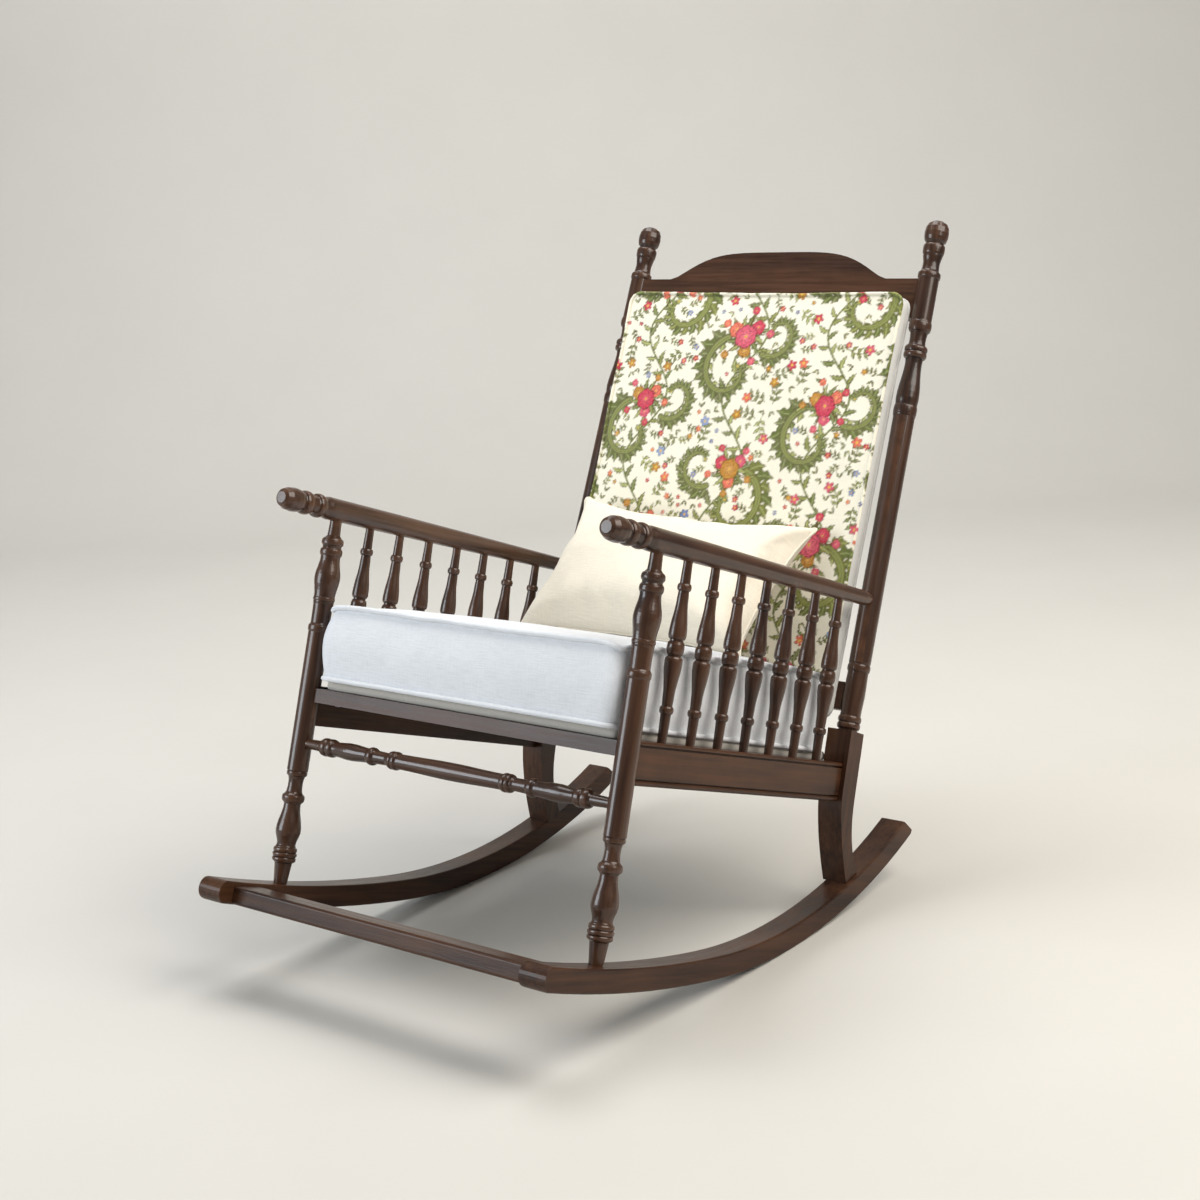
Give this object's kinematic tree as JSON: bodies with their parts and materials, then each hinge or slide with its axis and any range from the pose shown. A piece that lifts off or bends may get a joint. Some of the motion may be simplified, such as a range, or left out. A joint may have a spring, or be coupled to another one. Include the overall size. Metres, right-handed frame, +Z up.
{
  "type": "rocking chair",
  "caption": "Traditional chair on two bow rockers with turned posts, arms and spindles, an upholstered back, a loose seat cushion and a throw pillow.",
  "frame": {"origin": "centre of the bounding box on the floor, with the chair as it rests when empty", "axes": "+X to the sitter's left, -Y the way the sitter faces, +Z up"},
  "size_m": [0.618, 1.0902, 0.9946],
  "materials": {
    "dark_wood": "satin",
    "seat_fabric": "matte",
    "floral_fabric": "matte",
    "pillow_fabric": "matte",
    "deck_fabric": "matte",
    "steel": "satin"
  },
  "bodies": {
    "chair_frame": {"rocker_left": "dark_wood", "rocker_right": "dark_wood", "front_board": "dark_wood", "front_post_left": "dark_wood", "front_post_right": "dark_wood", "front_stretcher": "dark_wood", "rear_leg_left": "dark_wood", "rear_leg_right": "dark_wood", "back_post_left": "dark_wood", "back_post_right": "dark_wood", "side_rail_left": "dark_wood", "side_rail_right": "dark_wood", "front_rail": "dark_wood", "rear_rail": "dark_wood", "deck_cleat_left": "dark_wood", "deck_cleat_right": "dark_wood", "corner_block_front_left": "dark_wood", "corner_block_front_right": "dark_wood", "corner_block_rear_left": "dark_wood", "corner_block_rear_right": "dark_wood", "deck_screws": "steel", "arm_left": "dark_wood", "arm_right": "dark_wood", "arm_spindle_left_1": "dark_wood", "arm_spindle_left_2": "dark_wood", "arm_spindle_left_3": "dark_wood", "arm_spindle_left_4": "dark_wood", "arm_spindle_left_5": "dark_wood", "arm_spindle_left_6": "dark_wood", "arm_spindle_left_7": "dark_wood", "arm_spindle_right_1": "dark_wood", "arm_spindle_right_2": "dark_wood", "arm_spindle_right_3": "dark_wood", "arm_spindle_right_4": "dark_wood", "arm_spindle_right_5": "dark_wood", "arm_spindle_right_6": "dark_wood", "arm_spindle_right_7": "dark_wood", "crest_rail": "dark_wood", "upper_back_rail": "dark_wood", "lower_back_rail": "dark_wood", "back_slat_1": "dark_wood", "back_slat_2": "dark_wood", "back_slat_3": "dark_wood", "back_slat_4": "dark_wood", "back_slat_5": "dark_wood", "seat_deck": "deck_fabric", "back_pad": "floral_fabric"},
    "loose_seat_cushion": {"seat_cushion": "seat_fabric"},
    "loose_throw_pillow": {"throw_pillow": "pillow_fabric"}
  },
  "joints": [
    {"name": "seat_cushion_lift", "type": "slide", "parent": "chair_frame", "child": "loose_seat_cushion", "axis": [0, 0.3173, 0.9483], "range_m": [0, 0.25]},
    {"name": "throw_pillow_lift", "type": "slide", "parent": "loose_seat_cushion", "child": "loose_throw_pillow", "axis": [0, 0.3173, 0.9483], "range_m": [0, 0.2]}
  ]
}
